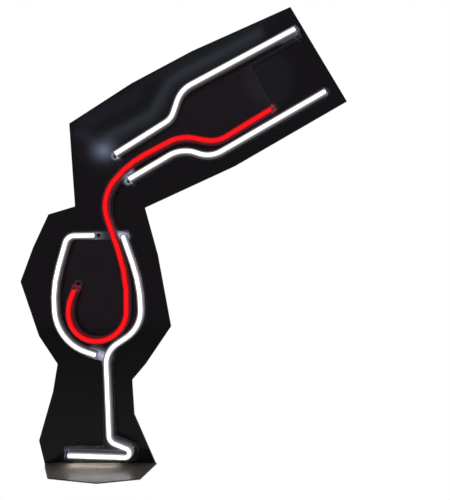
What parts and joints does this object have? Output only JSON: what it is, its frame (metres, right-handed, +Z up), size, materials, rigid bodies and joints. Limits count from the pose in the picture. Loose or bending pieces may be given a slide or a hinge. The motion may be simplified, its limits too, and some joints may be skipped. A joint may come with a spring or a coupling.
{
  "type": "led neon advertising sign",
  "caption": "Wall-hung LED-neon sign: a tilted bottle pours a red stream into a stemmed glass, in silicone light tubes on a clear plate before a faceted black panel with a ledge.",
  "frame": {"origin": "mouth of the bore of the first wall boss, on the wall plane behind the bottle's shoulder", "axes": "+Z up, +X to the right as a viewer sees it, +Y into the wall; the lit front faces -Y"},
  "size_m": [0.3427, 0.0931, 0.4838],
  "materials": {
    "panel_black": "polished black acrylic",
    "ledge_black": "satin black acrylic",
    "boss_black": "moulded black plastic",
    "carrier_clear": "clear acrylic, frosted in the milled grooves",
    "silicone_white": "milky silicone, lit cool white",
    "silicone_red": "milky silicone, lit deep red",
    "strip_tape": "flexible circuit tape",
    "led_white": "LED package, cool white",
    "led_red": "LED package, red",
    "cap_clear": "clear silicone",
    "lead_red": "red insulation",
    "lead_black": "black insulation",
    "box_black": "textured black plastic",
    "tape_grey": "foam tape",
    "steel": "zinc-plated",
    "board_green": "solder mask",
    "parts_dark": "moulded component bodies",
    "dimmer_blue": "moulded potentiometer body",
    "shaft_metal": "turned",
    "knob_black": "fluted knob",
    "button_white": "moulded button"
  },
  "bodies": {
    "sign": {"backing_panel": "panel_black", "foot_ledge": "ledge_black", "ledge_screws": "steel", "wall_bosses": "boss_black", "carrier_plate": "carrier_clear", "carrier_spacers": "carrier_clear", "tube_bottle_top": "silicone_white", "tube_bottle_base": "silicone_white", "tube_wine": "silicone_red", "tube_glass_bowl": "silicone_white", "tube_glass_stem": "silicone_white", "strip_bottle_top": "strip_tape", "strip_bottle_base": "strip_tape", "strip_wine": "strip_tape", "strip_glass_bowl": "strip_tape", "strip_glass_stem": "strip_tape", "leds_bottle_top": "led_white", "leds_bottle_base": "led_white", "leds_wine": "led_red", "leds_glass_bowl": "led_white", "leds_glass_stem": "led_white", "caps_bottle_top": "cap_clear", "caps_bottle_base": "cap_clear", "caps_wine": "cap_clear", "caps_glass_bowl": "cap_clear", "caps_glass_stem": "cap_clear", "leads_red": "lead_red", "leads_black": "lead_black", "lead_clips": "box_black", "box_tape": "tape_grey", "box_base": "box_black", "box_lid": "box_black", "box_screws": "steel", "control_board": "board_green", "board_parts": "parts_dark", "dc_inlet": "parts_dark", "inlet_pin": "steel", "dimmer_body": "dimmer_blue", "switch_body": "parts_dark"},
    "dimmer": {"dimmer_shaft": "shaft_metal", "dimmer_knob": "knob_black"},
    "button": {"power_button": "button_white"}
  },
  "joints": [
    {"name": "dimmer_turn", "type": "hinge", "parent": "sign", "child": "dimmer", "pos_m": [-0.044, -0.014, -0.172], "axis": [1, 0, 0], "range_deg": [0, 270]},
    {"name": "power_press", "type": "slide", "parent": "sign", "child": "button", "axis": [-1, 0, 0], "range_m": [0, 0.0012], "stiffness_N_per_m": 1200, "springref_m": -0.0006}
  ]
}
